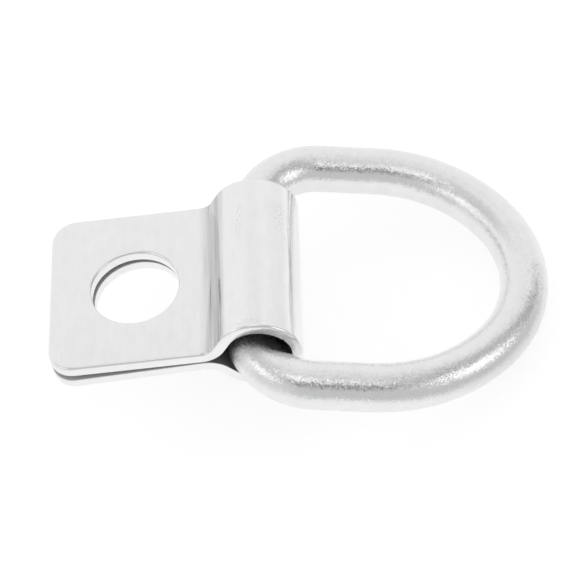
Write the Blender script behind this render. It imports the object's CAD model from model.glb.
# %% [markdown]
# # A bolt-on D-ring tie down
# A tie down like this is two pieces of plated steel. A strip of sheet is folded round into a clip: two
# flat leaves that one bolt goes through, and a round barrel at the fold. A loose D-shaped ring of round
# wire hangs in the barrel and swings. This lesson rebuilds both as clean meshes in the places that the
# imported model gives, dresses them in bright zinc, and lights them as a small product shot.

# %% Load the frame
from math import atan2, cos, pi, radians, sin, tan

import bmesh
import bpy
from mathutils import Matrix, Vector


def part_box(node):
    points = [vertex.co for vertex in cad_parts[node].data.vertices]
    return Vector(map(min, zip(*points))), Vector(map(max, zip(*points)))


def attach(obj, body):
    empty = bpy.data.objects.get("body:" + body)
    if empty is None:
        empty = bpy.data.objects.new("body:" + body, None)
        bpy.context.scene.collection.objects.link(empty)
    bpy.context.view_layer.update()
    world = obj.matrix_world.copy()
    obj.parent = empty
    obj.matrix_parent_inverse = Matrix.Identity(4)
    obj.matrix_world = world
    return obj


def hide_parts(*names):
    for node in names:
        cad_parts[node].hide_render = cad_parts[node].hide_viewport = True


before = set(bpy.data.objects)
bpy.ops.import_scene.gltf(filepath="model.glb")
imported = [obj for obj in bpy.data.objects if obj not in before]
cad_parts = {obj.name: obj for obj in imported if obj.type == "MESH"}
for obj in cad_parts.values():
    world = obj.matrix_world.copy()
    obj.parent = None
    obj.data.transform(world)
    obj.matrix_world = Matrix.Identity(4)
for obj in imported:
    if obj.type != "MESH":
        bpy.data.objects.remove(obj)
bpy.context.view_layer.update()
MM = 0.001

# %% [markdown]
# ## Read the sizes off the frame
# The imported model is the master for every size, so the script measures what it can from its boxes. The
# strip's width, the ends of its leaves and the barrel's nose are the clip's box. What a box can't show,
# such as the thickness of the sheet and the bend radii, is written here once, in millimetres. The
# flanks are straight, and their slope of four to three is worked out as an angle.

# %% Sizes of the strip
clip_low, clip_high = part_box("clip")
STRIP_W = clip_high.y - clip_low.y
END_X = clip_low.x
SHEET_T = 1.55 * MM
HOLE_R = 5.9 * MM
CORNER_R = 3.35 * MM
BARREL_OUT_R = (clip_high.z - clip_low.z) / 2
BARREL_X = clip_high.x - BARREL_OUT_R
BARREL_Z = (clip_high.z + clip_low.z) / 2
SHOULDER_OUT_R = 5.35 * MM
THROAT_R = 2.3 * MM
LEAF_SPLAY = radians(2.4)
BEND_TURN = atan2(4, 3)
QUARTER_TURN = radians(90)
HALF_TURN = radians(180)
print(f"strip {STRIP_W / MM:.2f} mm wide, barrel {2 * BARREL_OUT_R / MM:.2f} mm across")

# %% [markdown]
# ## The lower leaf
# The real clip starts as a flat strip that a former folds round. It could be cut from a block, but then
# each bend would have to be fitted to its neighbours. Here the fold is drawn first, as a chain of edges
# seen from the side, along the strip's outer surface. One vertex is the free end of the lower leaf, and
# it is extruded along the leaf. The stretch under the bolt hole gets short steps, because the hole's
# rim will need points to hold on to. The flank takes up the height that its two bends leave over, and
# that settles where the leaf ends.

# %% Start the chain and run along the lower leaf
PATCH = 8.0 * MM
PATCH_STEPS = 16
BENDS_RISE = (SHOULDER_OUT_R + THROAT_R) * (1 - cos(BEND_TURN))
FLANK_L = (BARREL_OUT_R - BARREL_Z - BENDS_RISE) / sin(BEND_TURN)
THROAT_X = BARREL_X - (SHOULDER_OUT_R + THROAT_R) * sin(BEND_TURN) - FLANK_L * cos(BEND_TURN)


def run_on(bm, tip, direction, length, steps=1):
    """Extrudes the tip of a chain along a straight line, and returns the new tip."""
    for _ in range(steps):
        tip = bmesh.ops.extrude_vert_indiv(bm, verts=[tip])["verts"][0]
        bmesh.ops.translate(bm, verts=[tip], vec=direction * (length / steps))
    return tip


strip = bmesh.new()
inner_layer = strip.verts.layers.float.new("inner_side")
tip = strip.verts.new((END_X, -STRIP_W / 2, 0))
heading = Vector((1, 0, 0))
tip = run_on(strip, tip, heading, -PATCH - END_X)
tip = run_on(strip, tip, heading, 2 * PATCH, PATCH_STEPS)
tip = run_on(strip, tip, heading, THROAT_X - PATCH)
print(f"the lower leaf is flat to x = {tip.co.x / MM:.2f} mm, a flank is {FLANK_L / MM:.2f} mm long")

# %% [markdown]
# ## Throat, flank, shoulder and barrel
# On the real clip the sheet dips into a hollow throat, runs down a short straight flank, turns back over
# a shoulder and goes round the barrel, and then it does the same in reverse. A curve object could draw
# this too, but its points would all have to be worked out. The tip is spun round each bend instead.
# Spin gives true arcs, and they are tangent to the straights because each centre is square to the
# stretch before it. The upper throat turns a little further, which springs the upper leaf open.

# %% Bend the chain round the barrel
THROAT_STEPS = 12
FLANK_STEPS = 3
SHOULDER_STEPS = 16
BARREL_STEPS = 64


def bend_on(bm, tip, direction, radius, turn, steps):
    """Spins the tip of a chain round a bend in the XZ plane. A positive turn bends it downwards."""
    side = 1 if turn > 0 else -1
    inwards = Vector((direction.z, 0, -direction.x)) * side
    centre = tip.co + inwards * radius
    spun = bmesh.ops.spin(bm, geom=[tip], cent=centre, axis=(0, 1, 0), angle=turn, steps=steps,
                          use_duplicate=False)
    tip = [part for part in spun["geom_last"] if isinstance(part, bmesh.types.BMVert)][0]
    direction = Matrix.Rotation(turn, 3, "Y") @ direction
    return tip, direction


tip, heading = bend_on(strip, tip, heading, THROAT_R, BEND_TURN, THROAT_STEPS)
tip = run_on(strip, tip, heading, FLANK_L, FLANK_STEPS)
tip, heading = bend_on(strip, tip, heading, SHOULDER_OUT_R, -BEND_TURN, SHOULDER_STEPS)
tip, heading = bend_on(strip, tip, heading, BARREL_OUT_R, -HALF_TURN, BARREL_STEPS)
tip, heading = bend_on(strip, tip, heading, SHOULDER_OUT_R, -BEND_TURN, SHOULDER_STEPS)
tip = run_on(strip, tip, heading, FLANK_L, FLANK_STEPS)
tip, heading = bend_on(strip, tip, heading, THROAT_R, BEND_TURN + LEAF_SPLAY, THROAT_STEPS)
print(f"the upper leaf starts at z = {tip.co.z / MM:.2f} mm")

# %% [markdown]
# ## The upper leaf
# The two leaves of the real clip were sheared to one length, so the upper one stops where its inner
# edge is level with the end of the lower one. It lies at a slant, so each stretch is a little longer
# than what it covers along X. Its fine stretch lies right above that of the lower leaf, for the hole.

# %% Run back along the upper leaf
SLANT = 1 / cos(LEAF_SPLAY)
upper_end_x = END_X + SHEET_T * sin(LEAF_SPLAY)
tip = run_on(strip, tip, heading, (tip.co.x - PATCH) * SLANT)
tip = run_on(strip, tip, heading, 2 * PATCH * SLANT, PATCH_STEPS)
tip = run_on(strip, tip, heading, (tip.co.x - upper_end_x) * SLANT)
fold_l = sum(edge.calc_length() for edge in strip.edges)
print(f"the fold is {fold_l / MM:.1f} mm long, in {len(strip.edges)} edges")

# %% [markdown]
# ## Pull the fold out to the strip's width
# A folded sheet has the same section all along its width. So the whole chain is extruded sideways, as
# one would pull a curtain. The step is fine in the middle, over the hole, and coarse at the edges,
# which keeps the faces few where the sheet is plain.

# %% Pull the chain sideways
WELD = 0.001 * MM
EDGE_STEP = STRIP_W / 2 - PATCH


def pull(bm, edges, step):
    """Extrudes edges by one step, and returns the edges at the new end."""
    pulled = bmesh.ops.extrude_edge_only(bm, edges=edges)["geom"]
    verts = [part for part in pulled if isinstance(part, bmesh.types.BMVert)]
    bmesh.ops.translate(bm, verts=verts, vec=step)
    return [part for part in pulled if isinstance(part, bmesh.types.BMEdge)
            and all(v in verts for v in part.verts)]


def face_outwards(bm):
    """The nose of the barrel has to look along +X, which settles which side is out."""
    bmesh.ops.recalc_face_normals(bm, faces=bm.faces[:])
    bm.normal_update()
    nose = max(bm.faces, key=lambda f: f.calc_center_median().x)
    if nose.normal.x < 0:
        bmesh.ops.reverse_faces(bm, faces=bm.faces[:])


chain = strip.edges[:]
for width in [EDGE_STEP] + [2 * PATCH / PATCH_STEPS] * PATCH_STEPS + [EDGE_STEP]:
    chain = pull(strip, chain, Vector((0, width, 0)))
bmesh.ops.remove_doubles(strip, verts=strip.verts[:], dist=WELD)
face_outwards(strip)
print(f"the sheet's outer surface has {len(strip.faces)} faces")

# %% [markdown]
# ## Round the free corners
# The blank's four corners are rounded so that they don't cut a hand. On a solid that would be a bevel of
# upright edges. The sheet has no thickness yet, so each corner is one vertex with one face, and a
# bevel of those vertices draws the same arcs with nothing to clean up.

# %% Bevel the corner vertices
CORNER_STEPS = 14
corners = [v for v in strip.verts if v.is_boundary and len(v.link_faces) == 1]
bmesh.ops.bevel(strip, geom=corners, affect="VERTICES", offset=CORNER_R, segments=CORNER_STEPS,
                profile=0.5, material=-1)
print(f"{len(corners)} corners rounded to {CORNER_R / MM:.2f} mm")

# %% [markdown]
# ## The bolt hole
# A punch went through both leaves while they were pressed together, so the two holes line up. A hole
# cut by a boolean would leave long thin faces round it. Here a square patch of each leaf is taken out
# instead. The edge of that square is extruded, and the new points are set evenly on the hole's circle.
# The faces run straight from the rim out into the leaf, so the rim can be rounded cleanly.

# %% Open the hole in both leaves
def is_in_patch(face, upper):
    """Whether a face lies in the square patch round the bolt's axis, on the leaf that is asked for."""
    centre = face.calc_center_median()
    near_axis = abs(centre.x) < PATCH and abs(centre.y) < PATCH
    return near_axis and (centre.z > SHEET_T) == upper


def open_hole(bm, upper):
    """Opens the hole in one leaf, and returns how many points its rim has."""
    patch = [f for f in bm.faces if is_in_patch(f, upper)]
    inside = set(patch)
    square = [e for f in patch for e in f.edges if sum(g in inside for g in e.link_faces) == 1]
    slope = tan(LEAF_SPLAY) if upper else 0
    middle_z = sum(v.co.z for e in square for v in e.verts) / (2 * len(square))
    bmesh.ops.delete(bm, geom=patch, context="FACES")
    pulled = bmesh.ops.extrude_edge_only(bm, edges=square)["geom"]
    rim = [part for part in pulled if isinstance(part, bmesh.types.BMVert)]
    rim.sort(key=lambda v: atan2(v.co.y, v.co.x))
    for count, vert in enumerate(rim):
        angle = 2 * HALF_TURN * (count + 0.5) / len(rim) - HALF_TURN
        x, y = HOLE_R * cos(angle), HOLE_R * sin(angle)
        vert.co = (x, y, middle_z - slope * x)
    return len(rim)


rims = [open_hole(strip, upper) for upper in (False, True)]
face_outwards(strip)
print(f"the rims of the hole have {rims} points")

# %% [markdown]
# ## The sheet's thickness
# The strip is one sheet of even thickness, round every bend too. Solidify grows it inwards from the
# outer surface and keeps it even, which an extrusion along Z would not. The new surface is marked as
# the sheet's inner side, and the faces between the two as its cut edge. The finish reads both marks
# later, because the inside of the fold is dull and the scuffs of the barrel don't reach its edges.

# %% Give the sheet its thickness
def thicken(bm):
    """Grows the sheet inwards, and marks its inner points, inner faces and cut edges."""
    dull_layer = bm.faces.layers.float.new("dull_inside")
    cut_layer = bm.faces.layers.float.new("cut_edge")
    grown = bmesh.ops.solidify(bm, geom=bm.faces[:], thickness=SHEET_T)["geom"]
    for part in grown:
        if isinstance(part, bmesh.types.BMVert):
            part[inner_layer] = 1.0
    for face in bm.faces:
        inner = sum(v[inner_layer] > 0.5 for v in face.verts)
        face[dull_layer] = 1.0 if inner == len(face.verts) else 0.0
        face[cut_layer] = 1.0 if 0 < inner < len(face.verts) else 0.0
    bm.normal_update()


thicken(strip)
print(f"with its thickness the clip holds {strip.calc_volume() / MM ** 3:.0f} cubic mm of steel")

# %% [markdown]
# ## Sheared edges
# A blank that is sheared from sheet has a soft rolled edge on the side where the punch enters and a
# nearly sharp one on the other. In the photo the soft edge is on the outer side of the fold, where it
# catches the light. So the outer rims get a wide round and the inner rims a small one. A Bevel modifier
# would round both alike, but the operator takes a list of edges, so each side gets its own width.

# %% Break the edges
OUTER_ROUND = 0.36 * MM
INNER_ROUND = 0.09 * MM
SHARP = radians(45)


def rim_edges(bm, inner):
    """Sharp edges whose two ends both lie on the sheet's inner side, or both on its outer one."""
    edges = []
    for e in bm.edges:
        sharp = len(e.link_faces) == 2 and e.calc_face_angle() > SHARP
        if sharp and all((v[inner_layer] > 0.5) == inner for v in e.verts):
            edges.append(e)
    return edges


for inner, width, segments in ((False, OUTER_ROUND, 4), (True, INNER_ROUND, 2)):
    rim = rim_edges(strip, inner)
    print(f"{len(rim)} edges get a round of {width / MM:.2f} mm")
    bmesh.ops.bevel(strip, geom=rim, affect="EDGES", offset=width, offset_type="OFFSET",
                    segments=segments, profile=0.5, material=-1)

# %% [markdown]
# ## From the bmesh to the clip
# The mesh has very large flat faces beside very small round ones, and plain smooth shading would drag
# the shine of the rounds far into the flats. A Weighted Normal modifier lets the large faces decide, so
# the leaves shade as flat as they are.

# %% Make the clip an object
def finish_piece(bm, name):
    """Turns a bmesh into a smoothly shaded object at the origin."""
    for face in bm.faces:
        face.smooth = True
    mesh = bpy.data.meshes.new(name)
    bm.to_mesh(mesh)
    bm.free()
    piece = bpy.data.objects.new(name, mesh)
    bpy.context.scene.collection.objects.link(piece)
    shade = piece.modifiers.new("even shading", "WEIGHTED_NORMAL")
    shade.mode = "FACE_AREA"
    shade.weight = 100
    print(f"{name}: {len(mesh.polygons)} faces")
    return piece


clip = finish_piece(strip, "folded_clip")

# %% [markdown]
# ## The ring
# The ring is one length of round wire: a straight bar inside the barrel, two tight bends, two legs, and
# a crown whose middle is bent a little tighter than its shoulders. A bevelled curve could follow such a
# path, but its arcs would only be near ones. So it is swept like the strip, from the sizes below. It
# hangs loosely, so at rest it droops, has slid along the barrel and lies at a slant.

# %% Sizes of the ring
ring_low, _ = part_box("d_ring")
WIRE_R = 3.175 * MM
HALF_W = 18.575 * MM
BAR_BEND_R = 8.7 * MM
LEG_L = 7.375 * MM
SHOULDER_ARC_R = 20.975 * MM
CROWN_R = 16.975 * MM
RING_DROOP = radians(12.7)
RING_SLANT = radians(2.9)
RING_SLIDE = 1.8 * MM
BAR_BACK = 0.4 * MM
BAR_DROP = 0.2 * MM
BAR_HALF = HALF_W - BAR_BEND_R
LEG_END = BAR_BEND_R + LEG_L
CROWN_X = LEG_END + (SHOULDER_ARC_R - CROWN_R) * sin(BEND_TURN)
print(f"wire {2 * WIRE_R / MM:.2f} mm thick, ring {2 * (HALF_W + WIRE_R) / MM:.2f} mm wide outside")

# %% [markdown]
# ## Sweep half of the wire
# A circle at the middle of the bar is extruded along each straight and spun round each bend, up to the
# middle of the crown. The bends are arcs about centres in the ring's own plane, and each one is
# tangent to the next. Half of the ring is enough, because the other half is its mirror image.

# %% Sweep from the bar to the crown
WIRE_SIDES = 40
BAR_STEPS = 10
BAR_BEND_STEPS = 24
LEG_STEPS = 8
ARC_STEPS = 28
CROWN_STEPS = 18


def sweep_straight(bm, loop, direction, length, steps):
    """Extrudes a loop of edges along a straight line, and returns the loop at the new end."""
    for _ in range(steps):
        loop = pull(bm, loop, direction * (length / steps))
    return loop


def sweep_bend(bm, loop, centre, turn, steps):
    """Spins a loop of edges round a centre in the XY plane, and returns the loop at the new end."""
    spun = bmesh.ops.spin(bm, geom=loop, cent=centre, axis=(0, 0, 1), angle=turn, steps=steps,
                          use_duplicate=False)["geom_last"]
    return [part for part in spun if isinstance(part, bmesh.types.BMEdge)]


wire = bmesh.new()
bmesh.ops.create_circle(wire, segments=WIRE_SIDES, radius=WIRE_R,
                        matrix=Matrix.Rotation(QUARTER_TURN, 4, "X"))
loop = sweep_straight(wire, wire.edges[:], Vector((0, 1, 0)), BAR_HALF, BAR_STEPS)
loop = sweep_bend(wire, loop, (BAR_BEND_R, BAR_HALF, 0), -QUARTER_TURN, BAR_BEND_STEPS)
loop = sweep_straight(wire, loop, Vector((1, 0, 0)), LEG_L, LEG_STEPS)
loop = sweep_bend(wire, loop, (LEG_END, HALF_W - SHOULDER_ARC_R, 0), -BEND_TURN, ARC_STEPS)
loop = sweep_bend(wire, loop, (CROWN_X, 0, 0), BEND_TURN - QUARTER_TURN, CROWN_STEPS)
crown_y = sum(v.co.y for e in loop for v in e.verts) / (2 * len(loop))
print(f"the half ring ends {abs(crown_y) / MM:.4f} mm from its middle plane")

# %% [markdown]
# ## Close the ring and lay it in the barrel
# The real ring is welded shut in its straight bar, out of sight in the barrel. Mirroring the half
# gives the same closed tube, and merging the doubles leaves no seam. Mirroring turns faces inside out,
# so the normals are worked out again. Then the whole mesh is moved to where the loose ring rests.

# %% Mirror the half and place the ring
bmesh.ops.mirror(wire, geom=wire.verts[:] + wire.edges[:] + wire.faces[:], axis="Y", merge_dist=WELD)
bmesh.ops.remove_doubles(wire, verts=wire.verts[:], dist=WELD)
bmesh.ops.recalc_face_normals(wire, faces=wire.faces[:])
resting_place = (Matrix.Translation((BARREL_X, RING_SLIDE, BARREL_Z))
                 @ Matrix.Rotation(RING_DROOP, 4, "Y")
                 @ Matrix.Translation((-BAR_BACK, 0, -BAR_DROP))
                 @ Matrix.Rotation(-RING_SLANT, 4, "Z"))
bmesh.ops.transform(wire, matrix=resting_place, verts=wire.verts[:])
open_edges = sum(1 for e in wire.edges if len(e.link_faces) != 2)
print(f"the ring has {open_edges} open edges")
ring = finish_piece(wire, "wire_ring")

# %% [markdown]
# ## Put the pieces on their bodies
# The clip is bolted down and the ring swings, so each rides on its own body. Each mesh stands for its
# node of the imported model, which is hidden, and takes its finish from that node's slot.

# %% Ride, replace and name the finish
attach(clip, "clip")
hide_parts("clip")
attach(ring, "ring")
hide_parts("d_ring")
print("clip and ring stand for their nodes")

# %% [markdown]
# ## Building materials from nodes
# Both pieces are plated in bright zinc, and each plating takes dozens of nodes. Wired one by one in the
# editor, they hide what they do. In a script a few helpers can make them read like a formula. The first
# ones make a material and add a node to it, whose sockets take plain values or other nodes' outputs.

# %% Helpers that add nodes
def new_material(name):
    """A new node material, with its tree and its shader."""
    material = bpy.data.materials.new(name)
    material.use_nodes = True
    tree = material.node_tree
    return material, tree, tree.nodes["Principled BSDF"]


def add(tree, kind, values=(), links=()):
    """A node of one kind, with its own settings, socket values and incoming links."""
    node = tree.nodes.new(kind)
    for key, value in dict(values).items():
        if hasattr(node, key):
            setattr(node, key, value)
        else:
            node.inputs[key].default_value = value
    for key, source in dict(links).items():
        tree.links.new(source, node.inputs[key])
    return node


def fill(tree, node, values):
    """Fills a node's sockets in order, each from another node or with a plain value."""
    for socket, value in zip(node.inputs, values):
        if isinstance(value, bpy.types.NodeSocket):
            tree.links.new(value, socket)
        else:
            socket.default_value = value


print("ready to make materials and add nodes")

# %% [markdown]
# ## Arithmetic and places
# A finish that changes over a piece is a share from 0 to 1 that depends on the place. It is worked out
# by a few kinds of step: plain arithmetic, a dot product that says how far a place lies along some
# direction, a range that turns a stretch of the piece into levels, and a blend of two values. The
# place is in the piece's own coordinates, so the pattern stays on the ring when the ring swings.

# %% Helpers that work out values
RISE = (0.0, 1.0)
FALL = (1.0, 0.0)
X_AXIS = (1, 0, 0)
Y_AXIS = (0, 1, 0)
Z_AXIS = (0, 0, 1)


def maths(tree, operation, *values):
    """One step of arithmetic on values."""
    node = add(tree, "ShaderNodeMath", {"operation": operation})
    fill(tree, node, values)
    return node.outputs[0]


def vectors(tree, operation, *values):
    """One step of arithmetic on vectors. A length, a distance or a dot product comes out as a value."""
    node = add(tree, "ShaderNodeVectorMath", {"operation": operation})
    fill(tree, node, values)
    return node.outputs["Value" if operation in ("LENGTH", "DISTANCE", "DOT_PRODUCT") else "Vector"]


def to_range(tree, source, levels, stretch):
    """From one level to another, while the source runs over a stretch, and level beside it."""
    limits = {"To Min": levels[0], "To Max": levels[1], "From Min": stretch[0], "From Max": stretch[1]}
    return add(tree, "ShaderNodeMapRange", limits, {"Value": source}).outputs["Result"]


def blend(tree, share, first, second):
    """The first value where the share is 0 and the second where it is 1."""
    step = maths(tree, "SUBTRACT", second, first)
    return maths(tree, "MULTIPLY_ADD", share, step, first)


def on_piece(tree):
    """The place on the piece, in metres."""
    return add(tree, "ShaderNodeTexCoord").outputs["Object"]


def along(tree, where, direction):
    """How far a place or a direction reaches along another direction."""
    return vectors(tree, "DOT_PRODUCT", where, direction)


print("levels rise over", RISE, "and fall over", FALL)

# %% [markdown]
# ## What bright zinc looks like up close
# Bright zinc is a mirror that is broken up. It grows as tiny crystals, and each leans a little its own
# way, so the reflection of one dark thing turns into a peppered band. A high roughness would give the
# same band without the pepper. So the crystals are cells of a Voronoi texture, a tenth or a sixth of a
# millimetre across, and the random colour of each cell leans its normal. Slower noises vary the tone
# and the polish, since no bath plates evenly. The metal itself is a very slightly bluish grey.

# %% Helpers for the plating
BLUISH = 1.006
NOISE_ROUGHNESS = 0.6
SOFT_NOISE = (0.3, 0.7)


def grain(tree, per_metre, detail, stretch_y=1):
    """A noise with so many grains to a metre of the piece, drawn out along Y where stretch_y is small."""
    drawn = add(tree, "ShaderNodeMapping", {"Scale": (1, stretch_y, 1)}, {"Vector": on_piece(tree)})
    noise = add(tree, "ShaderNodeTexNoise",
                {"Scale": per_metre, "Detail": detail, "Roughness": NOISE_ROUGHNESS},
                {"Vector": drawn.outputs["Vector"]})
    return noise.outputs["Fac"]


def crystals(tree, per_metre, lean):
    """Tiny crystals that each lean a little their own way, as the shading normal."""
    cells = add(tree, "ShaderNodeTexVoronoi", {"Scale": per_metre}, {"Vector": on_piece(tree)})
    way = vectors(tree, "SUBTRACT", cells.outputs["Color"], (0.5, 0.5, 0.5))
    way = vectors(tree, "MULTIPLY", way, (lean, lean, lean))
    face = add(tree, "ShaderNodeNewGeometry").outputs["Normal"]
    return vectors(tree, "NORMALIZE", vectors(tree, "ADD", face, way))


def tint(tree, tone, metal):
    """Gives a metal its zinc colour at some tone."""
    blue = maths(tree, "MULTIPLY", tone, BLUISH)
    colour = add(tree, "ShaderNodeCombineColor", {}, {"Red": tone, "Green": tone, "Blue": blue})
    tree.links.new(colour.outputs[0], metal.inputs["Base Color"])


print(f"zinc is {BLUISH} times as bright in blue as in red")

# %% [markdown]
# ## The plating of the wire
# Drawn wire keeps slow waves along its skin under the plating, so a bump of a wide noise goes over the
# crystals. Their lean is large here, because the photo shows the pepper clearly. The bar has rubbed in
# the barrel and is dark and dull there, which is a share of its own: full at the bar, and faded out
# towards the legs and at the two mouths of the barrel.

# %% Plate the ring
WIRE_CRYSTALS = 9000
WIRE_LEAN = 0.21
WAVE_HEIGHT = 0.04 * MM
BRIGHT_TONE = (0.84, 0.88)
WIRE_POLISH = (0.13, 0.21)
RUBBED_TONE = (0.18, 0.42)
RUBBED_CONTRAST = (0.38, 0.62)
RUBBED_ROUGHNESS = 0.45
RUBBED_TO_LEGS = (BARREL_X + 1 * MM, BARREL_X + 5 * MM)
RUBBED_FROM_NEAR = (-15.2 * MM, -12.4 * MM)
RUBBED_TO_FAR = (11.6 * MM, 13.4 * MM)


def rubbed_bar(tree):
    """1 on the bar, which rubs in the barrel and is duller there, and 0 on the rest of the ring."""
    where = on_piece(tree)
    y = along(tree, where, Y_AXIS)
    at_bar = to_range(tree, along(tree, where, X_AXIS), FALL, RUBBED_TO_LEGS)
    near_end = to_range(tree, y, RISE, RUBBED_FROM_NEAR)
    far_end = to_range(tree, y, FALL, RUBBED_TO_FAR)
    return maths(tree, "MULTIPLY", at_bar, maths(tree, "MULTIPLY", near_end, far_end))


def ring_plating():
    material, tree, metal = new_material("drawn_wire_zinc")
    metal.inputs["Metallic"].default_value = 1.0
    rubbed = rubbed_bar(tree)
    bright_tone = to_range(tree, grain(tree, per_metre=500, detail=5), BRIGHT_TONE, SOFT_NOISE)
    rubbed_tone = to_range(tree, grain(tree, per_metre=4200, detail=1), RUBBED_TONE, RUBBED_CONTRAST)
    tint(tree, blend(tree, rubbed, bright_tone, rubbed_tone), metal)
    polish = to_range(tree, grain(tree, per_metre=900, detail=3), WIRE_POLISH, SOFT_NOISE)
    tree.links.new(blend(tree, rubbed, polish, RUBBED_ROUGHNESS), metal.inputs["Roughness"])
    waves = add(tree, "ShaderNodeBump", {"Strength": 1.0, "Distance": WAVE_HEIGHT},
                {"Height": grain(tree, per_metre=420, detail=1),
                 "Normal": crystals(tree, WIRE_CRYSTALS, WIRE_LEAN)})
    tree.links.new(waves.outputs["Normal"], metal.inputs["Normal"])
    return material


ring.data.materials.append(ring_plating())
print("wire plating:", len(ring.data.materials[0].node_tree.nodes), "nodes")

# %% [markdown]
# ## Where the strip is worn
# Sheet is rolled, so it is much smoother than wire, and its plating shows what has touched it. The
# former rubbed fine lines along the hollow throats, and the barrel has a few short grey scuffs. Painting
# them by hand would need an image. Each is a share instead, from 0 to 1, that fades over a stretch of
# the piece, and it is broken up by a fine grain.

# %% Shares of the worn places
SCUFFS = ((15.0, 4.8, 0.5, 4.4), (20.0, 6.8, 1.1, 2.6), (15.6, -11.6, 2.4, 0.5), (20.6, 2.0, 0.4, 2.0))
SCUFFS_FADE = (0.5, 1.2)
SCUFF_STRENGTH = (0.0, 0.45)
SCUFF_CONTRAST = (0.48, 0.70)
UPPER_SIDE = (BARREL_Z, BARREL_Z + 2 * MM)
LINES_TONE = (0.54, 0.84)
LINES_DARKEN = (1.0, 0.84)
LINES_FROM = (8.6 * MM, 9.9 * MM)
LINES_TO = (11.8 * MM, 12.8 * MM)
DARKER_STRETCH = (10.4 * MM, 11.4 * MM)


def worn_throat(tree):
    """1 in the hollow bends, where the former rubbed lines into the plating."""
    x = along(tree, on_piece(tree), X_AXIS)
    start = to_range(tree, x, RISE, LINES_FROM)
    return maths(tree, "MULTIPLY", start, to_range(tree, x, FALL, LINES_TO))


def throat_tone(tree):
    """Fine lines along the throat, a little darker on the barrel's side of it."""
    x = along(tree, on_piece(tree), X_AXIS)
    lines = to_range(tree, grain(tree, per_metre=1300, detail=2, stretch_y=0.04), LINES_TONE, SOFT_NOISE)
    return maths(tree, "MULTIPLY", lines, to_range(tree, x, LINES_DARKEN, DARKER_STRETCH))


def scuffs(tree):
    """How strong the scuffs are. Each is a soft patch: its middle x and y and half sizes, in mm."""
    where = on_piece(tree)
    patches = 0.0
    for x, y, half_x, half_y in SCUFFS:
        off = vectors(tree, "SUBTRACT", where, (x * MM, y * MM, 0))
        off = vectors(tree, "MULTIPLY", off, (1 / (half_x * MM), 1 / (half_y * MM), 0))
        patch = to_range(tree, vectors(tree, "LENGTH", off), FALL, SCUFFS_FADE)
        patches = maths(tree, "MAXIMUM", patches, patch)
    specks = grain(tree, per_metre=5200, detail=1, stretch_y=0.6)
    marks = to_range(tree, specks, SCUFF_STRENGTH, SCUFF_CONTRAST)
    upper = to_range(tree, along(tree, where, Z_AXIS), RISE, UPPER_SIDE)
    return maths(tree, "MULTIPLY", patches, maths(tree, "MULTIPLY", upper, marks))


print(f"{len(SCUFFS)} scuffs on the barrel")

# %% [markdown]
# ## The plating of the strip
# The outer side is bright, with faint press lines across it as a bump. The cut edges stay clear of
# scuffs and lines, as they do on the real clip. The inside of the fold got little current in the bath
# and is dull: it is darker and rougher, and between the leaves it is more dust than metal.

# %% Plate the clip
STRIP_CRYSTALS = 6300
STRIP_LEAN = 0.02
STRIP_TONE = (0.88, 0.92)
STRIP_POLISH = (0.10, 0.17)
PRESS_LINE_HEIGHT = 0.02 * MM
SCUFF_TONE = 0.56
INSIDE_TONE = 0.70
INSIDE_ROUGHNESS = 0.5
INSIDE_METAL = 0.35
BETWEEN_LEAVES = (8.0 * MM, 10.0 * MM)


def clip_plating():
    material, tree, metal = new_material("rolled_strip_zinc")
    inside = add(tree, "ShaderNodeAttribute", {"attribute_name": "dull_inside"}).outputs["Fac"]
    cut = add(tree, "ShaderNodeAttribute", {"attribute_name": "cut_edge"}).outputs["Fac"]
    rolled = maths(tree, "SUBTRACT", 1.0, cut)
    clouds = grain(tree, per_metre=900, detail=5, stretch_y=0.4)
    tone = to_range(tree, clouds, STRIP_TONE, SOFT_NOISE)
    tone = blend(tree, maths(tree, "MULTIPLY", worn_throat(tree), rolled), tone, throat_tone(tree))
    tone = blend(tree, maths(tree, "MULTIPLY", scuffs(tree), rolled), tone, SCUFF_TONE)
    tint(tree, blend(tree, inside, tone, INSIDE_TONE), metal)
    leaves = to_range(tree, along(tree, on_piece(tree), X_AXIS), FALL, BETWEEN_LEAVES)
    dusty = maths(tree, "MULTIPLY", inside, leaves)
    tree.links.new(blend(tree, dusty, 1.0, INSIDE_METAL), metal.inputs["Metallic"])
    polish = to_range(tree, grain(tree, per_metre=700, detail=3), STRIP_POLISH, SOFT_NOISE)
    tree.links.new(blend(tree, inside, polish, INSIDE_ROUGHNESS), metal.inputs["Roughness"])
    press_lines = add(tree, "ShaderNodeBump", {"Strength": 1.0, "Distance": PRESS_LINE_HEIGHT},
                      {"Height": grain(tree, per_metre=2600, detail=1, stretch_y=0.05),
                       "Normal": crystals(tree, STRIP_CRYSTALS, STRIP_LEAN)})
    tree.links.new(press_lines.outputs["Normal"], metal.inputs["Normal"])
    return material


clip.data.materials.append(clip_plating())
print("strip plating:", len(clip.data.materials[0].node_tree.nodes), "nodes")

# %% [markdown]
# ## The paper as the metal mirrors it
# The product lies on white paper, just under the lowest point of the ring. Half of what the metal
# mirrors is this paper, so its tone matters round the piece. It is in half shade towards the front
# right, it fades slowly away from the piece, and it is evenly pale behind it. A plane with one colour
# would mirror flat, so the shade is worked out from the place on the floor.

# %% Shade the paper
FLOOR_GAP = 0.05 * MM
FLOOR_Z = min(clip_low.z, ring_low.z) - FLOOR_GAP
SHADE_FROM = Vector((40, -12, 0)) * MM
SHADE_TOWARDS = (0.86, -0.5, 0)
SHADE_STRETCH = (6 * MM, 22 * MM)
SHADE_LEVELS = (1.0, 0.40)
FADE_FROM = Vector((22, 4, FLOOR_Z / MM)) * MM
FADE_STRETCH = (30 * MM, 85 * MM)
FADE_LEVELS = (1.0, 0.72)
BEHIND_STRETCH = (5 * MM, 30 * MM)
BEHIND_LEVEL = 0.92


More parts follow.
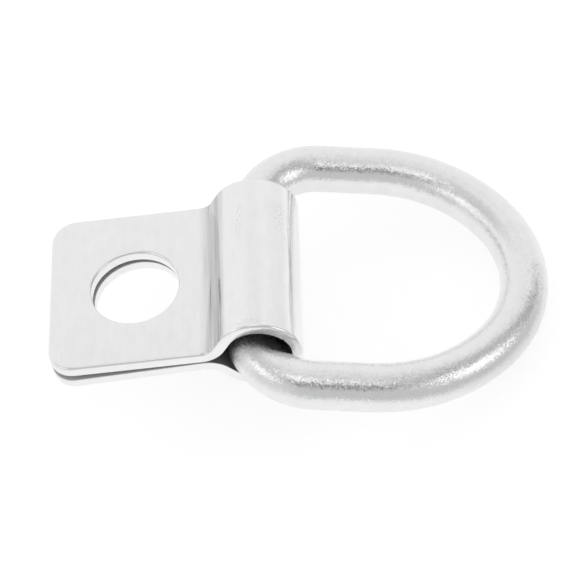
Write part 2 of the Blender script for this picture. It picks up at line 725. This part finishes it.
def shaded_paper(tree):
    """The paper is bright round the piece and in half shade towards the front right."""
    where = add(tree, "ShaderNodeNewGeometry").outputs["Position"]
    apart = vectors(tree, "SUBTRACT", where, SHADE_FROM)
    shade = to_range(tree, along(tree, apart, SHADE_TOWARDS), SHADE_LEVELS, SHADE_STRETCH)
    reach = vectors(tree, "DISTANCE", where, FADE_FROM)
    fade = to_range(tree, reach, FADE_LEVELS, FADE_STRETCH)
    behind = to_range(tree, along(tree, where, Y_AXIS), RISE, BEHIND_STRETCH)
    return blend(tree, behind, maths(tree, "MINIMUM", shade, fade), BEHIND_LEVEL)


print(f"the paper lies {-FLOOR_Z / MM:.2f} mm below the lower leaf")

# %% [markdown]
# ## The floor
# A white plane lit to pure white would throw far too much light on the metal. So the paper itself is a
# mid grey, and it glows only for the rays that need it: the camera sees it white, with a faint shadow
# left, and the metal mirrors the shaded paper.

# %% Lay the floor
FLOOR_HALF = 1.5
PAPER_GREY = 0.44
SEEN_GLOW = 0.70
MIRRORED_GLOW = 0.68


def paper():
    material, tree, shader = new_material("white_paper")
    shader.inputs["Base Color"].default_value = (PAPER_GREY, PAPER_GREY, PAPER_GREY, 1)
    shader.inputs["Roughness"].default_value = 1.0
    shader.inputs["Specular IOR Level"].default_value = 0.0
    path = add(tree, "ShaderNodeLightPath").outputs
    mirrored = maths(tree, "MULTIPLY", path["Is Glossy Ray"], shaded_paper(tree))
    seen = maths(tree, "MULTIPLY", path["Is Camera Ray"], SEEN_GLOW)
    lift = maths(tree, "MULTIPLY_ADD", mirrored, MIRRORED_GLOW, seen)
    glow = add(tree, "ShaderNodeEmission", {"Color": (1, 1, 1, 1)}, {"Strength": lift})
    both = add(tree, "ShaderNodeAddShader")
    fill(tree, both, (shader.outputs[0], glow.outputs[0]))
    tree.links.new(both.outputs[0], tree.nodes["Material Output"].inputs["Surface"])
    return material


def build_floor():
    bm = bmesh.new()
    bmesh.ops.create_grid(bm, x_segments=1, y_segments=1, size=FLOOR_HALF,
                          matrix=Matrix.Translation((BARREL_X, 0, FLOOR_Z)))
    mesh = bpy.data.meshes.new("floor")
    bm.to_mesh(mesh)
    bm.free()
    mesh.materials.append(paper())
    floor = bpy.data.objects.new("floor", mesh)
    bpy.context.scene.collection.objects.link(floor)
    return floor


floor = build_floor()
print(f"{floor.name} at z = {FLOOR_Z / MM:.2f} mm")

# %% [markdown]
# ## The lamps
# Bright metal shows what is round it more than it shows itself, so the set matters as much as the
# finish. The highlights on the ring say where the lamps stood: one left and one right of the camera,
# and one above. Each is a round soft area lamp. Its strength is given as what a mirror would show of
# it, and the power follows from its area, so a lamp can be widened without growing brighter.

# %% Hang three soft lamps
LAMP_DISTANCE = 0.9


def towards(azimuth, elevation):
    """A direction by its angle round from -Y towards +X and its height, both in degrees."""
    a, e = radians(azimuth), radians(elevation)
    return Vector((sin(a) * cos(e), -cos(a) * cos(e), sin(e)))


def add_lamp(name, azimuth, elevation, spread, brightness):
    """A round soft lamp that faces the object. Its spread is half the angle that it fills."""
    direction = towards(azimuth, elevation)
    radius = LAMP_DISTANCE * tan(radians(spread))
    light = bpy.data.lights.new(name, "AREA")
    light.shape = "DISK"
    light.size = 2 * radius
    light.energy = brightness * pi * (pi * radius ** 2)
    lamp = bpy.data.objects.new(name, light)
    bpy.context.scene.collection.objects.link(lamp)
    lamp.matrix_world = (Matrix.Translation(direction * LAMP_DISTANCE)
                         @ direction.to_track_quat("Z", "Y").to_matrix().to_4x4())
    lamp.visible_camera = False
    return lamp


lamps = [
    add_lamp("left_lamp", -60, 43, 14, 0.20),
    add_lamp("right_lamp", 69, 24, 15, 0.44),
    add_lamp("top_lamp", 8, 72, 11, 0.32),
]
print("lamps in watts:", {lamp.name: round(lamp.data.energy, 3) for lamp in lamps})

# %% [markdown]
# ## The pale surroundings
# Such a piece is photographed among white paper, and what isn't paper shows as grey in the metal. A
# room could be modelled for this, but a world of soft round patches does the same with less. The room
# is dimmer in its open front, where the camera itself hangs as a small dark spot, and a belt and a post
# cross it on the right. A halo softens the border of each lamp. Each patch is an azimuth and an
# elevation, the angles inside which it is full and outside which it is gone, and how much it takes or
# adds. A stripe has only its reach to the side, beside how much it takes.

# %% Patches and stripes of the room
DIM_PATCHES = {
    "open front": (50, 18, 45, 85, 0.31),
    "the camera": (10, 50, 5, 14, 0.28),
    "low left": (-46, 12, 12, 42, 0.18),
    "left of the camera": (-26, 52, 5, 21, 0.13),
    "high left": (-85, 70, 5, 34, 0.26),
}
LAMP_HALOS = {
    "left": (-60, 43, 8, 22, 0.16),
    "right": (67, 26, 8, 30, 0.23),
    "top": (4, 74, 6, 22, 0.24),
}
DIM_BELT = (26, 52, 84, 0.21)
BELT_HALF_WIDTH = 0.08
DIM_POST = (114, 2, 48, 0.26)
POST_HALF_WIDTH = 0.24
FULL_REACH = 0.6
FULL_WIDTH = 0.25


def lobe(tree, where, azimuth, elevation, inner, outer, depth):
    """A soft round patch of the surroundings, full inside one angle and gone outside another."""
    limits = {"interpolation_type": "SMOOTHSTEP", "From Min": cos(radians(outer)),
              "From Max": cos(radians(inner)), "To Min": 0.0, "To Max": depth}
    near = along(tree, where, towards(azimuth, elevation))
    return add(tree, "ShaderNodeMapRange", limits, {"Value": near}).outputs["Result"]


def stripe(tree, where, place, across, level, half_width):
    """A soft stripe on one side of the room, square to the direction across."""
    azimuth, elevation, reach, depth = place
    side = lobe(tree, where, azimuth, elevation, FULL_REACH * reach, reach, depth)
    off = maths(tree, "SUBTRACT", along(tree, where, across), level)
    border = (FULL_WIDTH * half_width, half_width)
    return maths(tree, "MULTIPLY", side, to_range(tree, maths(tree, "ABSOLUTE", off), FALL, border))


print(f"{len(DIM_PATCHES)} dim patches, {len(LAMP_HALOS)} halos, a belt and a post")

# %% [markdown]
# ## The world
# The room's level is pale all over, and the patches are taken off it and the halos put on. Only the
# metal and the paper see that. The camera sees plain white instead, which is the photo's background, so
# the background never adds light to the piece. Colours stay as written in the standard view.

# %% Build the world
ROOM_LEVEL = 0.92
DARKEST = 0.04


def room_level(tree, where):
    """How bright the room is in each direction."""
    level = ROOM_LEVEL
    for patch in DIM_PATCHES.values():
        level = maths(tree, "SUBTRACT", level, lobe(tree, where, *patch))
    for halo in LAMP_HALOS.values():
        level = maths(tree, "ADD", level, lobe(tree, where, *halo))
    belt_height = sin(radians(DIM_BELT[1]))
    belt = stripe(tree, where, DIM_BELT, Z_AXIS, belt_height, BELT_HALF_WIDTH)
    across_post = towards(DIM_POST[0] + 90, 0)
    post = stripe(tree, where, DIM_POST, across_post, 0.0, POST_HALF_WIDTH)
    level = maths(tree, "SUBTRACT", maths(tree, "SUBTRACT", level, belt), post)
    return maths(tree, "MAXIMUM", level, DARKEST)


def build_world():
    world = bpy.data.worlds.new("pale_room")
    world.use_nodes = True
    tree = world.node_tree
    background = tree.nodes["Background"]
    background.inputs["Color"].default_value = (1, 1, 1, 1)
    where = add(tree, "ShaderNodeTexCoord").outputs["Generated"]
    seen = add(tree, "ShaderNodeLightPath").outputs["Is Camera Ray"]
    strength = blend(tree, seen, room_level(tree, where), 1.0)
    tree.links.new(strength, background.inputs["Strength"])
    bpy.context.scene.world = world
    return world


world = build_world()
bpy.context.scene.view_settings.view_transform = "Standard"
print(f"{world.name}: {len(world.node_tree.nodes)} nodes")

# %% [markdown]
# ## The camera
# The camera looks down on the piece from the front, a little from the right, through a long lens. In
# the photo the strip runs slightly uphill to the right, which takes a roll. A camera could be aimed by a
# constraint, but that leaves no room for a roll. So its turn is built from its own three directions,
# and the roll is one more rotation about its line of sight.

# %% Set up the camera
CAMERA_AZIMUTH = 11.24
CAMERA_ELEVATION = 50.19
CAMERA_ROLL = radians(-16.46)
CAMERA_DISTANCE = 363.96 * MM
CAMERA_LENS = 170.76
SENSOR_WIDTH = 36
AIM = Vector((19.78, 0.37, -1.34)) * MM


def build_camera():
    back = towards(CAMERA_AZIMUTH, CAMERA_ELEVATION)
    right = Vector((cos(radians(CAMERA_AZIMUTH)), sin(radians(CAMERA_AZIMUTH)), 0))
    up = back.cross(right)
    level = Matrix((right, up, back)).transposed().to_4x4()
    data = bpy.data.cameras.new("camera")
    data.lens = CAMERA_LENS
    data.sensor_width = SENSOR_WIDTH
    camera = bpy.data.objects.new("camera", data)
    bpy.context.scene.collection.objects.link(camera)
    camera.matrix_world = (Matrix.Translation(AIM + back * CAMERA_DISTANCE) @ level
                           @ Matrix.Rotation(CAMERA_ROLL, 4, "Z"))
    bpy.context.scene.camera = camera
    return camera


camera = build_camera()
print("camera at", [round(x / MM, 1) for x in camera.matrix_world.translation], "mm")
